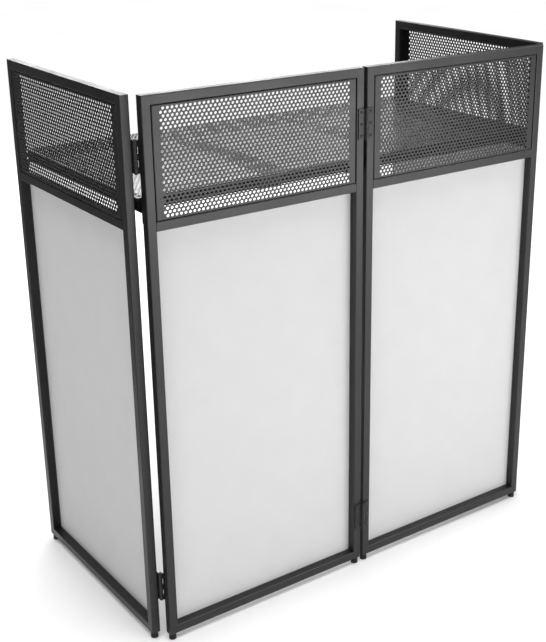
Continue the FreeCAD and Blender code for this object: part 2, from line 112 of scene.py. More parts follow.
def mapRange(tree, value, low, high, toLow=0.0, toHigh=1.0):
    inputs = {"Value": value, "From Min": low, "From Max": high, "To Min": toLow, "To Max": toHigh}
    return addNode(tree, "ShaderNodeMapRange", inputs).outputs["Result"]


def mixColour(tree, factor, first, second):
    node = addNode(tree, "ShaderNodeMix", {0: factor, 6: first, 7: second}, data_type="RGBA")
    return node.outputs[2]


def newTree(name, kind, inputs, outputs):
    tree = bpy.data.node_groups.new(name, kind)
    for label, socketKind in outputs:
        tree.interface.new_socket(label, in_out="OUTPUT", socket_type=socketKind)
    for label, socketKind in inputs:
        tree.interface.new_socket(label, in_out="INPUT", socket_type=socketKind)
    start = tree.nodes.new("NodeGroupInput")
    end = tree.nodes.new("NodeGroupOutput")
    return tree, start.outputs, end.inputs


# shader groups that several finishes share
def makeCoatGroup():
    inputs = [("Vector", vector), ("Dark", colour), ("Light", colour), ("Cloud Scale", number),
              ("Grain Scale", number), ("Rough Low", number), ("Rough High", number)]
    outputs = [("Color", colour), ("Roughness", number), ("Height", number)]
    tree, start, end = newTree("coatGrain", "ShaderNodeTree", inputs, outputs)
    cloud = addNode(tree, "ShaderNodeTexNoise",
                    {"Vector": start["Vector"], "Scale": start["Cloud Scale"], "Detail": 4.0})
    grain = addNode(tree, "ShaderNodeTexNoise",
                    {"Vector": start["Vector"], "Scale": start["Grain Scale"], "Detail": 2.0})
    both = addMath(tree, "MULTIPLY", cloud.outputs["Fac"], grain.outputs["Fac"])
    clouded = mapRange(tree, cloud.outputs["Fac"], 0.3, 0.7)
    tree.links.new(mixColour(tree, clouded, start["Dark"], start["Light"]), end["Color"])
    rough = mapRange(tree, both, 0.15, 0.35, start["Rough Low"], start["Rough High"])
    tree.links.new(rough, end["Roughness"])
    tree.links.new(grain.outputs["Fac"], end["Height"])
    return tree


def makeEdgeGroup():
    inputs = [("Vector", vector), ("Radius", number), ("Patch Scale", number)]
    tree, start, end = newTree("edgeWear", "ShaderNodeTree", inputs, [("Mask", number)])
    rounded = addNode(tree, "ShaderNodeBevel", {"Radius": start["Radius"]}, samples=4)
    surface = tree.nodes.new("ShaderNodeNewGeometry")
    turn = addNode(tree, "ShaderNodeVectorMath",
                   {0: rounded.outputs["Normal"], 1: surface.outputs["Normal"]}, operation="DOT_PRODUCT")
    patches = addNode(tree, "ShaderNodeTexNoise",
                      {"Vector": start["Vector"], "Scale": start["Patch Scale"], "Detail": 5.0})
    edge = mapRange(tree, turn.outputs["Value"], 0.985, 0.8)
    patch = mapRange(tree, patches.outputs["Fac"], 0.42, 0.68)
    tree.links.new(addMath(tree, "MULTIPLY", edge, patch), end["Mask"])
    return tree


def makeKnitGroup():
    inputs = [("Vector", vector), ("Loops", number), ("Slub Scale", number)]
    outputs = [("Height", number), ("Shade", number)]
    tree, start, end = newTree("knitLoops", "ShaderNodeTree", inputs, outputs)
    wales = addNode(tree, "ShaderNodeTexWave", {"Vector": start["Vector"], "Scale": start["Loops"]},
                    bands_direction="X", wave_profile="SIN")
    courses = addNode(tree, "ShaderNodeTexWave", {"Vector": start["Vector"], "Scale": start["Loops"]},
                      bands_direction="Y", wave_profile="SIN")
    slubs = addNode(tree, "ShaderNodeTexNoise",
                    {"Vector": start["Vector"], "Scale": start["Slub Scale"], "Detail": 4.0})
    loops = addMath(tree, "MULTIPLY", wales.outputs["Fac"], courses.outputs["Fac"])
    tree.links.new(loops, end["Height"])
    # slubs vary the yarn's tone; the hollows between the loops, where the bump height is low, are painted darker:
    # painted shade
    slubShade = mapRange(tree, slubs.outputs["Fac"], 0.3, 0.7, 0.85, 1.0)
    loopShade = mapRange(tree, loops, 0.0, 1.0, 0.9, 1.0)
    tree.links.new(addMath(tree, "MULTIPLY", slubShade, loopShade), end["Shade"])
    return tree


coatGroup = makeCoatGroup()
edgeGroup = makeEdgeGroup()
knitGroup = makeKnitGroup()


# finishes
def newFinish(name):
    material = bpy.data.materials.new(name)
    material.use_nodes = True
    tree = material.node_tree
    return material, tree, tree.nodes["Principled BSDF"]


def addGroup(tree, group, inputs):
    return addNode(tree, "ShaderNodeGroup", inputs, node_tree=group).outputs


def addBump(tree, shader, height, strength, distance):
    bump = addNode(tree, "ShaderNodeBump", {"Height": height, "Strength": strength, "Distance": distance})
    tree.links.new(bump.outputs["Normal"], shader.inputs["Normal"])


def grey(value):
    return (value, value, value, 1.0)


def makeCoat(name, dark, light, roughLow, roughHigh, grainScale, grainDepth, specular, worn=None):
    material, tree, shader = newFinish(name)
    place = tree.nodes.new("ShaderNodeTexCoord").outputs["Object"]
    coat = addGroup(tree, coatGroup, {"Vector": place, "Dark": grey(dark), "Light": grey(light),
                                      "Cloud Scale": 9.0, "Grain Scale": grainScale,
                                      "Rough Low": roughLow, "Rough High": roughHigh})
    base = coat["Color"]
    if worn is not None:
        wear = addGroup(tree, edgeGroup, {"Vector": place, "Radius": 0.0012, "Patch Scale": 40.0})
        base = mixColour(tree, wear["Mask"], base, grey(worn))
    tree.links.new(base, shader.inputs["Base Color"])
    tree.links.new(coat["Roughness"], shader.inputs["Roughness"])
    shader.inputs["Specular IOR Level"].default_value = specular
    addBump(tree, shader, coat["Height"], 0.25, grainDepth)
    return material


def makeCloth(name, light, loops, sheen, depth, laidFlat=True):
    material, tree, shader = newFinish(name)
    if laidFlat:
        place = tree.nodes.new("ShaderNodeUVMap").outputs["UV"]
    else:
        place = tree.nodes.new("ShaderNodeTexCoord").outputs["Object"]
    knit = addGroup(tree, knitGroup, {"Vector": place, "Loops": loops, "Slub Scale": 14.0})
    # the cloth's colour carries the slub tone and the painted shade of the loop hollows
    shaded = mixColour(tree, knit["Shade"], grey(light * 0.8), grey(light))
    tree.links.new(shaded, shader.inputs["Base Color"])
    shader.inputs["Roughness"].default_value = 0.9
    shader.inputs["Specular IOR Level"].default_value = 0.2
    shader.inputs["Sheen Weight"].default_value = sheen
    shader.inputs["Sheen Roughness"].default_value = 0.5
    addBump(tree, shader, knit["Height"], 0.35, depth)
    return material


frameCoat = makeCoat("framePowderCoat", 0.006, 0.009, 0.34, 0.46, 900.0, 0.0004, 0.42, worn=0.05)
# the table's coat is the frame's coat with much less specular gloss and more roughness: painted shade for the
# table, which sits in the shade of the front grilles
tableCoatDimmedForShade = makeCoat("tablePowderCoatDimmedForShade", 0.007, 0.010, 0.5, 0.62, 900.0, 0.0004, 0.14, worn=0.05)
grilleCoat = makeCoat("grillePowderCoat", 0.006, 0.009, 0.34, 0.46, 1100.0, 0.0003, 0.42)
deckCoat = makeCoat("deckPowderCoat", 0.011, 0.016, 0.34, 0.46, 1000.0, 0.0003, 0.3)
hingeCoat = makeCoat("hingePowderCoat", 0.011, 0.015, 0.32, 0.44, 1000.0, 0.0003, 0.3, worn=0.06)
boltOxide = makeCoat("blackOxide", 0.008, 0.014, 0.28, 0.44, 1400.0, 0.0002, 0.4, worn=0.08)
footRubber = makeCoat("footRubber", 0.010, 0.018, 0.62, 0.82, 700.0, 0.0006, 0.35)
scrimKnit = makeCloth("scrimKnit", 0.592, 620.0, 0.1, 0.0004)
threadTwist = makeCloth("stitchThread", 0.66, 900.0, 0.2, 0.0002, laidFlat=False)
tapeLoops = makeCloth("hookLoopTape", 0.02, 420.0, 0.5, 0.0008)
print("finishes made")


# pieces and the geometry trees that make them
weld = 0.00001  # points nearer than this are one


def settleShape(piece):
    depsgraph = bpy.context.evaluated_depsgraph_get()
    mesh = bpy.data.meshes.new_from_object(piece.evaluated_get(depsgraph))
    piece.modifiers.clear()
    piece.data = mesh


def runTree(piece, tree, values):
    modifier = piece.modifiers.new(tree.name, "NODES")
    modifier.node_group = tree
    for item in tree.interface.items_tree:
        if item.in_out == "INPUT" and item.name in values:
            modifier[item.identifier] = values[item.name]
    settleShape(piece)


def endTree(tree, geometry, material, end):
    real = addNode(tree, "GeometryNodeRealizeInstances", {"Geometry": geometry})
    dressed = addNode(tree, "GeometryNodeSetMaterial",
                      {"Geometry": real.outputs["Geometry"], "Material": material})
    tree.links.new(dressed.outputs["Geometry"], end["Geometry"])


def newPiece(name, mesh):
    piece = bpy.data.objects.new(name, mesh)
    scene.collection.objects.link(piece)
    return piece


def drawMesh(name, maker):
    work = bmesh.new()
    maker(work)
    mesh = bpy.data.meshes.new(name)
    work.to_mesh(mesh)
    work.free()
    return mesh


def shadeByAngle(mesh, degrees):
    mesh.shade_smooth()
    mesh.set_sharp_from_angle(angle=math.radians(degrees))


def makePerforatedTree():
    inputs = [("Geometry", shape), ("Width", number), ("Height", number), ("Thickness", number),
              ("Pitch", number), ("Row Step", number), ("Hole Width", number), ("Hole Height", number),
              ("Columns", whole), ("Rows", whole), ("Hole Sides", whole),
              ("Material", "NodeSocketMaterial")]
    tree, start, end = newTree("perforatedSheet", "GeometryNodeTree", inputs, [("Geometry", shape)])

    def centredLine(count, step, axis, shift):
        half = addMath(tree, "MULTIPLY", addMath(tree, "SUBTRACT", count, 1.0), step)
        begin = addMath(tree, "SUBTRACT", shift, addMath(tree, "DIVIDE", half, 2.0))
        first = addNode(tree, "ShaderNodeCombineXYZ", {axis: begin})
        stride = addNode(tree, "ShaderNodeCombineXYZ", {axis: step})
        line = addNode(tree, "GeometryNodeMeshLine",
                       {"Count": count, "Start Location": first.outputs["Vector"],
                        "Offset": stride.outputs["Vector"]})
        return line.outputs["Mesh"]

    # one row of holes, a quarter of a pitch off centre; every other row is turned round
    circle = addNode(tree, "GeometryNodeCurvePrimitiveCircle",
                     {"Resolution": start["Hole Sides"], "Radius": 0.5})
    oval = addNode(tree, "ShaderNodeCombineXYZ",
                   {"X": start["Hole Width"], "Y": start["Hole Height"], "Z": 1.0})
    hole = addNode(tree, "GeometryNodeTransform",
                   {"Geometry": circle.outputs["Curve"], "Scale": oval.outputs["Vector"]})
    quarter = addMath(tree, "DIVIDE", start["Pitch"], 4.0)
    holes = addNode(tree, "GeometryNodeInstanceOnPoints",
                    {"Points": centredLine(start["Columns"], start["Pitch"], "X", quarter),
                     "Instance": hole.outputs["Geometry"]})
    loose = addNode(tree, "GeometryNodeRealizeInstances", {"Geometry": holes.outputs["Instances"]})
    strip = addNode(tree, "GeometryNodeCurvePrimitiveQuadrilateral",
                    {"Width": start["Width"], "Height": start["Row Step"]})
    outline = tree.nodes.new("GeometryNodeJoinGeometry")
    tree.links.new(strip.outputs["Curve"], outline.inputs["Geometry"])
    tree.links.new(loose.outputs["Geometry"], outline.inputs["Geometry"])
    row = addNode(tree, "GeometryNodeFillCurve", {"Curve": outline.outputs["Geometry"]})
    odd = addMath(tree, "MODULO", tree.nodes.new("GeometryNodeInputIndex").outputs["Index"], 2.0)
    turn = addNode(tree, "ShaderNodeCombineXYZ", {"Z": addMath(tree, "MULTIPLY", odd, math.pi)})
    rows = addNode(tree, "GeometryNodeInstanceOnPoints",
                   {"Points": centredLine(start["Rows"], start["Row Step"], "Y", 0.0),
                    "Instance": row.outputs["Mesh"], "Rotation": turn.outputs["Vector"]})

    # plain strips above and below the rows
    holed = addMath(tree, "MULTIPLY", start["Rows"], start["Row Step"])
    spare = addMath(tree, "DIVIDE", addMath(tree, "SUBTRACT", start["Height"], holed), 2.0)
    plain = addNode(tree, "GeometryNodeMeshGrid", {"Size X": start["Width"], "Size Y": spare,
                                                   "Vertices X": 2, "Vertices Y": 2})
    margins = addNode(tree, "GeometryNodeInstanceOnPoints",
                      {"Points": centredLine(2, addMath(tree, "ADD", holed, spare), "Y", 0.0),
                       "Instance": plain.outputs["Mesh"]})
    parts = tree.nodes.new("GeometryNodeJoinGeometry")
    tree.links.new(rows.outputs["Instances"], parts.inputs["Geometry"])
    tree.links.new(margins.outputs["Instances"], parts.inputs["Geometry"])
    flat = addNode(tree, "GeometryNodeRealizeInstances", {"Geometry": parts.outputs["Geometry"]})
    sheet = addNode(tree, "GeometryNodeMergeByDistance",
                    {"Geometry": flat.outputs["Geometry"], "Distance": weld})

    # thickness, below the face
    drop = addMath(tree, "MULTIPLY", start["Thickness"], -1.0)
    sink = addNode(tree, "ShaderNodeCombineXYZ", {"Z": drop})
    lowered = addNode(tree, "GeometryNodeSetPosition",
                      {"Geometry": sheet.outputs["Geometry"], "Offset": sink.outputs["Vector"]})
    thick = addNode(tree, "GeometryNodeExtrudeMesh",
                    {"Mesh": lowered.outputs["Geometry"], "Offset Scale": start["Thickness"],
                     "Individual": False})
    under = addNode(tree, "GeometryNodeFlipFaces", {"Mesh": lowered.outputs["Geometry"]})
    closed = tree.nodes.new("GeometryNodeJoinGeometry")
    tree.links.new(thick.outputs["Mesh"], closed.inputs["Geometry"])
    tree.links.new(under.outputs["Mesh"], closed.inputs["Geometry"])
    merged = addNode(tree, "GeometryNodeMergeByDistance",
                     {"Geometry": closed.outputs["Geometry"], "Distance": weld})
    joined = tree.nodes.new("GeometryNodeJoinGeometry")
    tree.links.new(merged.outputs["Geometry"], joined.inputs["Geometry"])
    tree.links.new(start["Geometry"], joined.inputs["Geometry"])
    endTree(tree, joined.outputs["Geometry"], start["Material"], end)
    return tree


perforatedTree = makePerforatedTree()


# a flat piece is drawn about its middle, with X along it, Y up it and Z out of its face
def faceFrame(node, along, upward=up):
    low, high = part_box(node)
    outward = along.cross(upward)
    size = high - low
    middle = (low + high) / 2 + outward * (abs(size.dot(outward)) / 2)
    matrix = Matrix.Translation(middle) @ Matrix((along, upward, outward)).transposed().to_4x4()
    return matrix, abs(size.dot(along)), abs(size.dot(upward))


# a rim folded round four sides; cuts holds the points of the holes that its lower and upper folds cut
def foldedRim(work, width, height, profile, gaps=(0.0, 0.0), cuts=((), ()), cutDepth=0.0):
    loops = []
    for inset, depth in profile:
        x = width / 2 - max(0.0, gaps[0] + inset)
        y = height / 2 - max(0.0, gaps[1] + inset)
        lower, upper = ([(across, min(y, limit) if depth <= cutDepth else y) for across, limit in row]
                        for row in cuts)
        ring = [(-x, -y)] + [(across, -rise) for across, rise in lower] + [(x, -y), (x, y)]
        ring += list(reversed(upper)) + [(-x, y)]
        loops.append([work.verts.new((across, rise, -depth)) for across, rise in ring])
    for first, second in zip(loops, loops[1:] + loops[:1]):
        for index in range(len(first)):
            after = (index + 1) % len(first)
            work.faces.new((first[index], first[after], second[after], second[index]))
    bmesh.ops.recalc_face_normals(work, faces=work.faces)


def bentProfile(bend, sheet, wall, steps=5):
    turns = [math.radians(90) * step / steps for step in range(steps + 1)]
    outer = [(bend - bend * math.sin(turn), bend - bend * math.cos(turn)) for turn in turns]
    inner = bend - sheet
    inside = [(bend - inner * math.sin(turn), bend - inner * math.cos(turn)) for turn in reversed(turns)]
    return outer + wall + inside


def holeGrid(room, spec):
    pitch, rowStep = spec["pitch"]
    wide, high = spec["hole"]
    columns = int((room[0] - pitch / 2 - wide) / pitch) + 1
    rows = int((room[1] - high) / rowStep) + 1
    return columns, rows


def perforate(piece, width, height, grid, spec, material):
    runTree(piece, perforatedTree, {
        "Width": width, "Height": height, "Thickness": spec["sheet"],
        "Pitch": spec["pitch"][0], "Row Step": spec["pitch"][1],
        "Hole Width": spec["hole"][0], "Hole Height": spec["hole"][1],
        "Columns": grid[0], "Rows": grid[1], "Hole Sides": spec["sides"], "Material": material})


# the rows next to the first and the last one, where the folds at height edge cut them
def cutHoles(grid, edge, spec):
    columns, rows = grid
    pitch = spec["pitch"][0]
    wide, high = spec["hole"]
    middle = edge + high / 2 - spec["cutReach"]
    reach = math.sqrt(1 - ((middle - edge) / (high / 2)) ** 2)  # share of a hole's width at the edge
    ends = []
    for turned in (True, rows % 2 == 1):
        shift = pitch / 4 * (-1 if turned else 1)
        points = []
        for column in range(columns):
            centre = shift + (column - (columns - 1) / 2) * pitch
            for share in (-1.0, -0.75, -0.4, 0.0, 0.4, 0.75, 1.0):
                dip = high / 2 * math.sqrt(1 - (share * reach) ** 2)
                points.append((centre + share * reach * wide / 2, middle - dip))
        ends.append(points)
    return ends


# panels, named as their bodies
panels = {
    "left_wing": {"along": -rear, "hingeSide": 1},
    "front_left": {"along": right, "hingeSide": -1},
    "front_right": {"along": right, "hingeSide": 1},
    "right_wing": {"along": rear, "hingeSide": -1},
}

grille = {
    "sheet": 0.0015,
    "bend": 0.0024,
    "depth": 0.012,
    "hole": (0.0068, 0.0059),
    "pitch": (0.01015, 0.0076),  # along a row, and from row to row
    "sides": 16,
    "sideMargin": 0.016,
    "topMargin": 0.003,
    "sideGap": 0.0013,  # seams between the folds and the tubes, closed by the flanges behind
    "endGap": 0.0002,
    "cutReach": 0.00135,  # what the upper and lower folds leave of the holes that they cut
    "cutDepth": 0.009,
    "cutStep": 0.0001,  # from the end of a cut to the whole wall
}


def addGrille(panel, along):
    node = panel + "_grille"
    matrix, width, height = faceFrame(node, along)
    bend, sheet, depth, cutDepth = (grille[key] for key in ("bend", "sheet", "depth", "cutDepth"))
    gaps = (grille["sideGap"], grille["endGap"])
    flange = -max(gaps)
    profile = bentProfile(bend, sheet, [
        (0.0, cutDepth), (0.0, cutDepth + grille["cutStep"]), (0.0, depth - sheet),
        (flange, depth - sheet), (flange, depth), (sheet, depth)])
    room = (width - 2 * grille["sideMargin"], height - 2 * grille["topMargin"])
    grid = holeGrid(room, grille)
    cuts = cutHoles(grid, height / 2 - gaps[1], grille)
    rim = drawMesh(node, lambda work: foldedRim(work, width, height, profile, gaps, cuts, cutDepth))
    piece = newPiece(panel + "_perforated_grille", rim)
    flatWidth, flatHeight = width - 2 * (bend + gaps[0]), height - 2 * (bend + gaps[1])
    perforate(piece, flatWidth, flatHeight, grid, grille, grilleCoat)
    piece.data.transform(matrix)
    shadeByAngle(piece.data, 35)
    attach(piece, panel)
    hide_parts(node)


for panel, spec in panels.items():
    addGrille(panel, spec["along"])
print("grilles perforated")


# scrims, notched beside the lower hinges
scrim = {
    "cell": 0.006,
    "hem": 0.009,
    "hemLift": 0.0005,
    "thickness": 0.0008,
    "pucker": 0.0005,  # ripples between the tape and the free cloth
    "puckerLength": 0.045,
    "puckerReach": 0.03,
    "slack": 0.0012,
    "notchRise": 0.133,  # middle of the lower hinge above the floor
    "notchHeight": 0.069,
    "notchDepth": 0.0085,
}


def stops(edges, step):
    places = [edges[0]]
    for first, last in zip(edges, edges[1:]):
        count = max(1, round((last - first) / step))
        places += [first + (last - first) * index / count for index in range(1, count + 1)]
    return places


def edgeDistance(point, outline):
    distances = []
    for first, last in zip(outline, outline[1:] + outline[:1]):
        run = last - first
        share = min(1.0, max(0.0, (point - first).dot(run) / run.length_squared))
        distances.append((point - first - run * share).length)
    return min(distances)


def smoothShare(value, low, high):
    share = min(1.0, max(0.0, (value - low) / (high - low)))
    return share * share * (3 - 2 * share)


def notchSpan(matrix):
    middle = scrim["notchRise"] - matrix.translation.z
    return middle - scrim["notchHeight"] / 2, middle + scrim["notchHeight"] / 2


def clothOutline(width, height, hingeSide, low, high):
    x, y = width / 2, height / 2
    cut = x - scrim["notchDepth"]
    corners = [(x, -y), (x, low), (cut, low), (cut, high), (x, high), (x, y), (-x, y), (-x, -y)]
    return [Vector((hingeSide * across, upward)) for across, upward in corners]


def clothSolid(work, columns, rows, kept, frontAt, thickness):
    uv = work.loops.layers.uv.new("clothFlat")
    verts = {}
    faces = []

    def corner(column, row):
        if (column, row) not in verts:
            point = Vector((columns[column], rows[row]))
            verts[column, row] = work.verts.new((point.x, point.y, frontAt(point)))
        return verts[column, row]

    for column in range(len(columns) - 1):
        for row in range(len(rows) - 1):
            across = (columns[column] + columns[column + 1]) / 2
            upward = (rows[row] + rows[row + 1]) / 2
            if kept(Vector((across, upward))):
                ring = [corner(column, row), corner(column + 1, row),
                        corner(column + 1, row + 1), corner(column, row + 1)]
                faces.append(work.faces.new(ring))
    edges = list(work.edges)
    grown = bmesh.ops.extrude_face_region(work, geom=faces + edges, use_keep_orig=True)
    for vert in grown["geom"]:
        if isinstance(vert, bmesh.types.BMVert):
            vert.co.z -= thickness(vert.co.xy)
    bmesh.ops.recalc_face_normals(work, faces=work.faces)
    for face in work.faces:
        for loop in face.loops:
            loop[uv].uv = loop.vert.co.xy


def addScrim(panel, along, hingeSide):
    node = panel + "_scrim"
    matrix, width, height = faceFrame(node, along)
    low, high = notchSpan(matrix)
    outline = clothOutline(width, height, hingeSide, low, high)
    hem = scrim["hem"]
    x, y = width / 2, height / 2
    columns = stops([-x, -x + hem, x - hem, x], scrim["cell"])
    rows = stops([-y, -y + hem, low, high, y - hem, y], scrim["cell"])
    distances = {}

    def inFrom(point):
        key = (round(point.x, 6), round(point.y, 6))
        if key not in distances:
            distances[key] = edgeDistance(point, outline)
        return distances[key]

    def kept(point):
        inNotch = point.x * hingeSide > x - scrim["notchDepth"] and low < point.y < high
        return not inNotch

    def frontAt(point):
        inside = inFrom(point)
        free = smoothShare(inside, hem, hem + scrim["puckerReach"])
        along = point.x if y - abs(point.y) < x - abs(point.x) else point.y
        wave = 0.5 + 0.5 * math.sin(2 * math.pi * along / scrim["puckerLength"])
        ripple = scrim["pucker"] * wave * math.exp(-max(0.0, inside - hem) / scrim["puckerReach"])
        bow = scrim["slack"] * math.cos(math.pi * point.x / width) * math.cos(math.pi * point.y / height)
        return -free * (ripple + bow)

    def thickness(point):
        return scrim["thickness"] + scrim["hemLift"] * (1 - smoothShare(inFrom(point), hem * 0.8, hem))

    mesh = drawMesh(node, lambda work: clothSolid(work, columns, rows, kept, frontAt, thickness))
    piece = newPiece(panel + "_stretched_scrim", mesh)
    piece.data.transform(matrix)
    piece.data.materials.append(scrimKnit)
    shadeByAngle(piece.data, 40)
    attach(piece, panel)
    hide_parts(node)
    return piece, outline, matrix


tape = {"width": 0.012, "cell": 0.006}


def addTape(panel, along, hingeSide):
    node = panel + "_scrim_tape"
    matrix, width, height = faceFrame(node, along)
    low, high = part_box(node)
    deep = abs((high - low).dot(along.cross(up)))
    bottom, top = notchSpan(matrix)
    x, y = width / 2, height / 2
    innerX, innerY = x - tape["width"], y - tape["width"]
    cut = x - scrim["notchDepth"]
    columns = stops([-x, -cut, -innerX, innerX, cut, x], tape["cell"])
    rows = stops([-y, -innerY, bottom, top, innerY, y], tape["cell"])

    def kept(point):
        onRing = abs(point.x) > innerX or abs(point.y) > innerY
        inNotch = point.x * hingeSide > cut and bottom < point.y < top
        return onRing and not inNotch

    mesh = drawMesh(node, lambda work: clothSolid(work, columns, rows, kept, lambda point: 0.0,
                                                  lambda point: deep))
    piece = newPiece(panel + "_hook_loop_tape", mesh)
    piece.data.transform(matrix)
    piece.data.materials.append(tapeLoops)
    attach(piece, panel)
    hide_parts(node)
    return piece


stitch = {"inset": 0.0045, "pitch": 0.0042, "length": 0.0028, "thick": 0.0006}


def makeStitchTree():
    inputs = [("Geometry", shape), ("Pitch", number), ("Length", number), ("Thick", number),
              ("Material", "NodeSocketMaterial")]
    tree, start, end = newTree("stitchRow", "GeometryNodeTree", inputs, [("Geometry", shape)])
    seam = addNode(tree, "GeometryNodeMeshToCurve", {"Mesh": start["Geometry"]})
    points = addNode(tree, "GeometryNodeCurveToPoints", {"Curve": seam.outputs["Curve"],
                                                         "Length": start["Pitch"]}, mode="LENGTH")
    bead = addNode(tree, "GeometryNodeMeshUVSphere", {"Segments": 8, "Rings": 4, "Radius": 0.5})
    size = addNode(tree, "ShaderNodeCombineXYZ", {"X": start["Thick"], "Y": start["Thick"],
                                                  "Z": start["Length"]})
    row = addNode(tree, "GeometryNodeInstanceOnPoints",
                  {"Points": points.outputs["Points"], "Instance": bead.outputs["Mesh"],
                   "Rotation": points.outputs["Rotation"], "Scale": size.outputs["Vector"]})
    endTree(tree, row.outputs["Instances"], start["Material"], end)
    return tree


stitchTree = makeStitchTree()


def addStitches(panel, outline, matrix, hingeSide):
    depth = scrim["thickness"] + scrim["hemLift"]
    points = []
    count = len(outline)
    for index, point in enumerate(outline):
        before = (point - outline[index - 1]).normalized()
        after = (outline[(index + 1) % count] - point).normalized()
        turn = before.x * after.y - before.y * after.x
        side = 1 if turn * hingeSide > 0 else -1
        points.append(point + (after - before) * side * stitch["inset"])

    def seam(work):
        verts = [work.verts.new((point.x, point.y, -depth)) for point in points]
        for index in range(count):
            work.edges.new((verts[index], verts[(index + 1) % count]))

    piece = newPiece(panel + "_scrim_stitching", drawMesh(panel + "_seam", seam))
    runTree(piece, stitchTree, {"Pitch": stitch["pitch"], "Length": stitch["length"],
                                "Thick": stitch["thick"], "Material": threadTwist})
    piece.data.transform(matrix)
    piece.data.shade_smooth()
    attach(piece, panel)
    return piece


for panel, spec in panels.items():
    cloth, outline, matrix = addScrim(panel, spec["along"], spec["hingeSide"])
    trim = [addTape(panel, spec["along"], spec["hingeSide"]),
            addStitches(panel, outline, matrix, spec["hingeSide"])]
print("scrims stretched")


# table deck: a lip all round, and three perforated sheets edge to edge from front to rear
deck = {
    "sheet": 0.00075,
    "bend": 0.0012,
    "lip": 0.00575,
    "hole": (0.0074, 0.0064),
    "pitch": (0.01015, 0.0076),
    "sides": 12,
    "sideMargin": 0.004,
    "rows": 23,  # of each of the three sheets
}


def dressDeckPiece(piece):
    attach(piece, "table")
    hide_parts("table_deck")


def addDeck():
    matrix, width, depth = faceFrame("table_deck", right, rear)
    bend = deck["bend"]
    profile = bentProfile(bend, deck["sheet"], [(0.0, deck["lip"]), (deck["sheet"], deck["lip"])])
    rim = newPiece("table_deck_lip",
                   drawMesh("deckLip", lambda work: foldedRim(work, width, depth, profile)))
    rim.data.transform(matrix)
    rim.data.materials.append(deckCoat)
    shadeByAngle(rim.data, 35)
    dressDeckPiece(rim)
    breadth = width - 2 * bend
    share = (depth - 2 * bend) / 3
    grid = (holeGrid((breadth - 2 * deck["sideMargin"], share), deck)[0], deck["rows"])
    for place, title in ((-1, "front"), (0, "middle"), (1, "rear")):
        piece = newPiece(f"table_deck_{title}_sheet", bpy.data.meshes.new(f"deckSheet{title}"))
        perforate(piece, breadth, share, grid, deck, deckCoat)
        piece.data.transform(matrix @ Matrix.Translation((0.0, place * share, 0.0)))
        shadeByAngle(piece.data, 35)
        dressDeckPiece(piece)


addDeck()
print("deck perforated")


# hinge screws, with crossed drive slots
screw = {
    "reach": 0.013,
    "seat": -0.002,
    "spacing": 0.026,
    "endInset": 0.0075,
    "shank": 0.002,
    "length": 0.009,
    "head": 0.0035,
    "headHeight": 0.0016,
    "rimShare": 0.35,  # of the head's height, upright below the dome
    "crownShare": 0.05,  # of the head's radius, flat on top
    "slotWidth": 0.0009,
    "slotLength": 0.0038,
    "slotDepth": 0.0009,
    "sides": 24,
}

leaves = {
    "left_hinge_front_leaves": ("left_wing_swing", right, rear, "front_left"),
    "left_hinge_wing_leaves": ("left_wing_swing", rear, right, "left_wing"),
    "centre_hinge_left_leaves": ("front_fold", -right, -rear, "front_left"),
    "centre_hinge_right_leaves": ("front_fold", right, -rear, "front_right"),
    "right_hinge_front_leaves": ("right_wing_swing", -right, rear, "front_right"),
    "right_hinge_wing_leaves": ("right_wing_swing", rear, -right, "right_wing"),
}


def lathe(work, profile, sides):
    rings = []
    for radius, height in profile:
        turns = [2 * math.pi * index / sides for index in range(sides)]
        rings.append([work.verts.new((radius * math.cos(turn), radius * math.sin(turn), height))
                      for turn in turns])
    for lower, upper in zip(rings, rings[1:]):
        for index in range(sides):
            after = (index + 1) % sides
            work.faces.new((lower[index], lower[after], upper[after], upper[index]))
    work.faces.new(reversed(rings[0]))
    work.faces.new(rings[-1])
    bmesh.ops.recalc_face_normals(work, faces=work.faces)


def crossCutter(work):
    for size in ((screw["slotLength"], screw["slotWidth"]), (screw["slotWidth"], screw["slotLength"])):
        grown = bmesh.ops.create_cube(work, size=1.0)["verts"]
        bmesh.ops.scale(work, verts=grown, vec=(size[0], size[1], 2 * screw["slotDepth"]))
        bmesh.ops.translate(work, verts=grown, vec=(0, 0, screw["headHeight"]))


def makeScrew():
    head, high, shank, rim = (screw[key] for key in ("head", "headHeight", "shank", "rimShare"))
    turns = [math.radians(90) * step / 5 for step in range(1, 5)]
    dome = [(head * math.cos(turn), high * (rim + (1 - rim) * math.sin(turn))) for turn in turns]
    profile = [(shank, -screw["length"]), (shank, 0.0), (head, 0.0), (head, rim * high)] + dome
    profile.append((head * screw["crownShare"], high))
    body = newPiece("screwPattern",
                    drawMesh("screwPattern", lambda work: lathe(work, profile, screw["sides"])))
    cutter = newPiece("screwCutter", drawMesh("screwCutter", crossCutter))
    cut = body.modifiers.new("driveSlots", "BOOLEAN")
    cut.operation = "DIFFERENCE"
    cut.solver = "EXACT"
    cut.use_self = True
    cut.object = cutter
    settleShape(body)
    bpy.data.objects.remove(cutter)
    return body


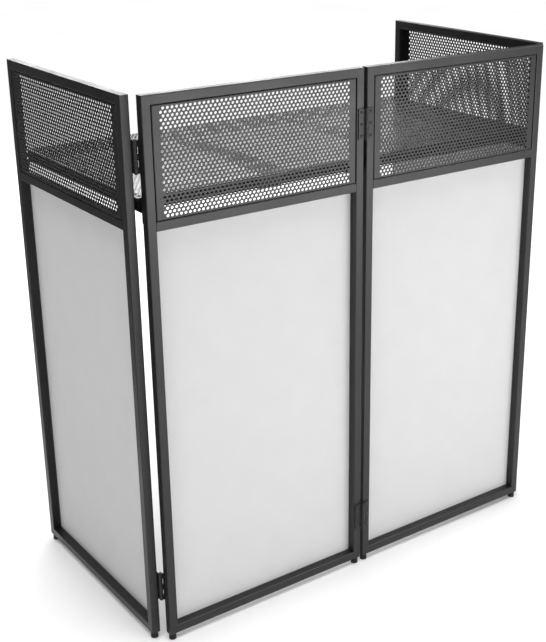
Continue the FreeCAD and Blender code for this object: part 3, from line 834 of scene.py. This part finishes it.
def makeScrewTree():
    inputs = [("Geometry", shape), ("Screw", "NodeSocketObject"), ("Seed", whole),
              ("Material", "NodeSocketMaterial")]
    tree, start, end = newTree("screwRow", "GeometryNodeTree", inputs, [("Geometry", shape)])
    outward = addNode(tree, "GeometryNodeInputNamedAttribute", {"Name": "outward"},
                      data_type="FLOAT_VECTOR")
    facing = addNode(tree, "FunctionNodeAlignRotationToVector", {"Vector": outward.outputs["Attribute"]},
                     axis="Z")
    angle = addNode(tree, "FunctionNodeRandomValue", {"Seed": start["Seed"], "Max": math.pi},
                    data_type="FLOAT")
    spin = addNode(tree, "FunctionNodeAxisAngleToRotation", {"Axis": up, "Angle": angle.outputs[1]})
    turned = addNode(tree, "FunctionNodeRotateRotation",
                     {"Rotation": facing.outputs["Rotation"], "Rotate By": spin.outputs["Rotation"]},
                     rotation_space="LOCAL")
    pattern = addNode(tree, "GeometryNodeObjectInfo", {"Object": start["Screw"]})
    row = addNode(tree, "GeometryNodeInstanceOnPoints",
                  {"Points": start["Geometry"], "Instance": pattern.outputs["Geometry"],
                   "Rotation": turned.outputs["Rotation"]})
    endTree(tree, row.outputs["Instances"], start["Material"], end)
    return tree


def screwPlaces(leaf, joint, plate, outward):
    pin = Vector(joints[joint]["pos_m"])
    low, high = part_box(leaf)
    steps = [screw["endInset"] + screw["spacing"] * index for index in range(3)]
    heights = [low.z + step for step in steps] + [high.z - step for step in steps]
    flat = pin + plate * screw["reach"] + outward * screw["seat"]
    return [Vector((flat.x, flat.y, height)) for height in heights]


def addScrews():
    pattern = makeScrew()
    tree = makeScrewTree()
    for seed, panel in enumerate(panels):
        places, faces = [], []
        for leaf, (joint, plate, outward, body) in leaves.items():
            if body == panel:
                found = screwPlaces(leaf, joint, plate, outward)
                places += found
                faces += [outward] * len(found)
        mesh = bpy.data.meshes.new(panel + "_screw_places")
        mesh.from_pydata(places, [], [])
        attribute = mesh.attributes.new("outward", "FLOAT_VECTOR", "POINT")
        for index, face in enumerate(faces):
            attribute.data[index].vector = face
        piece = newPiece(panel + "_cross_head_screws", mesh)
        runTree(piece, tree, {"Screw": pattern, "Seed": seed, "Material": boltOxide})
        shadeByAngle(piece.data, 30)
        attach(piece, panel)
        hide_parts(panel + "_hinge_screws")
    bpy.data.objects.remove(pattern)


addScrews()
print("screws set")


# finishes of the pieces that stay as they are
finishBySlot = {
    "frame_steel": frameCoat,
    "hinge_steel": hingeCoat,
    "fastener_steel": boltOxide,
    "foot_rubber": footRubber,
}
for subpart in frame["record"]["subparts"]:
    finish = finishBySlot.get(subpart["material_slot"])
    # table parts take the dimmed coat, painted shade for the table behind the grilles
    if finish is frameCoat and subpart["node"].startswith("table_"):
        finish = tableCoatDimmedForShade
    if finish is not None:
        nodes[subpart["node"]].material_slots[0].material = finish
print("frame, hinges, feet and buffers finished")


# floor and light
studio = {
    "floorSize": 60.0,
    "floorTone": 0.88,
    "sky": 0.14,
    "sun": 3.4,  # soft light from the ceiling
    "sunSpread": 64.0,
    "lamps": {  # soft boxes: place, width, height, power, and False for one that only gives highlights
        "lowFrontBox": ((0.4, -2.3, 0.72), 2.6, 0.8, 31.5, True),
        "rearBox": ((1.5, 3.6, 1.95), 3.0, 1.4, 75.0, True),
        "leftBox": ((-3.0, -1.0, 1.3), 2.0, 1.0, 12.0, True),
        "edgeBox": ((1.8, -1.12, 3.0), 1.2, 1.2, 50.0, False),
    },
    "flag": ((-1.15, 1.45, 0.85), 3.5, 1.7),  # black card at the left: place, length and height
    "aim": (-1.0, 0.0, 0.8),  # of all soft boxes
}


def addFloor():
    def plane(work):
        bmesh.ops.create_grid(work, x_segments=1, y_segments=1, size=studio["floorSize"] / 2)

    floor = newPiece("studioFloor", drawMesh("studioFloor", plane))
    material, tree, shader = newFinish("paleFloor")
    place = tree.nodes.new("ShaderNodeTexCoord").outputs["Object"]
    tone = studio["floorTone"]
    coat = addGroup(tree, coatGroup, {"Vector": place, "Dark": grey(tone * 0.98), "Light": grey(tone),
                                      "Cloud Scale": 1.5, "Grain Scale": 60.0, "Rough Low": 0.6,
                                      "Rough High": 0.7})
    tree.links.new(coat["Color"], shader.inputs["Base Color"])
    tree.links.new(coat["Roughness"], shader.inputs["Roughness"])
    shader.inputs["Specular IOR Level"].default_value = 0.2
    floor.data.materials.append(material)


def addFlag():
    place, length, height = studio["flag"]

    def card(work):
        bmesh.ops.create_grid(work, x_segments=1, y_segments=1, size=0.5)
        bmesh.ops.scale(work, verts=work.verts, vec=(length, height, 1.0))

    flag = newPiece("sideFlag", drawMesh("sideFlag", card))
    flag.data.transform(Matrix.Translation(place) @ Matrix((rear, up, right)).transposed().to_4x4())
    flag.data.materials.append(footRubber)
    flag.visible_camera = False
    flag.visible_diffuse = False
    flag.visible_shadow = False


def addLamp(name, kind, energy):
    data = bpy.data.lights.new(name, kind)
    data.energy = energy
    lamp = bpy.data.objects.new(name, data)
    scene.collection.objects.link(lamp)
    return data, lamp


def addLight():
    world = bpy.data.worlds.new("paleStudio")
    world.use_nodes = True
    backdrop = world.node_tree.nodes["Background"]
    backdrop.inputs["Color"].default_value = (1.0, 1.0, 1.0, 1.0)
    backdrop.inputs["Strength"].default_value = studio["sky"]
    scene.world = world
    data, sun = addLamp("ceilingLight", "SUN", studio["sun"])
    data.angle = math.radians(studio["sunSpread"])
    sun.location = up * 4
    for name, (spot, width, height, power, broad) in studio["lamps"].items():
        data, lamp = addLamp(name, "AREA", power)
        data.shape = "RECTANGLE"
        data.size = width
        data.size_y = height
        lamp.visible_camera = False
        lamp.visible_diffuse = broad
        lamp.location = spot
        lamp.rotation_mode = "QUATERNION"
        lamp.rotation_quaternion = (Vector(studio["aim"]) - Vector(spot)).to_track_quat("-Z", "Y")
    scene.view_settings.view_transform = "Standard"


addFloor()
addFlag()
addLight()
print("studio lit")
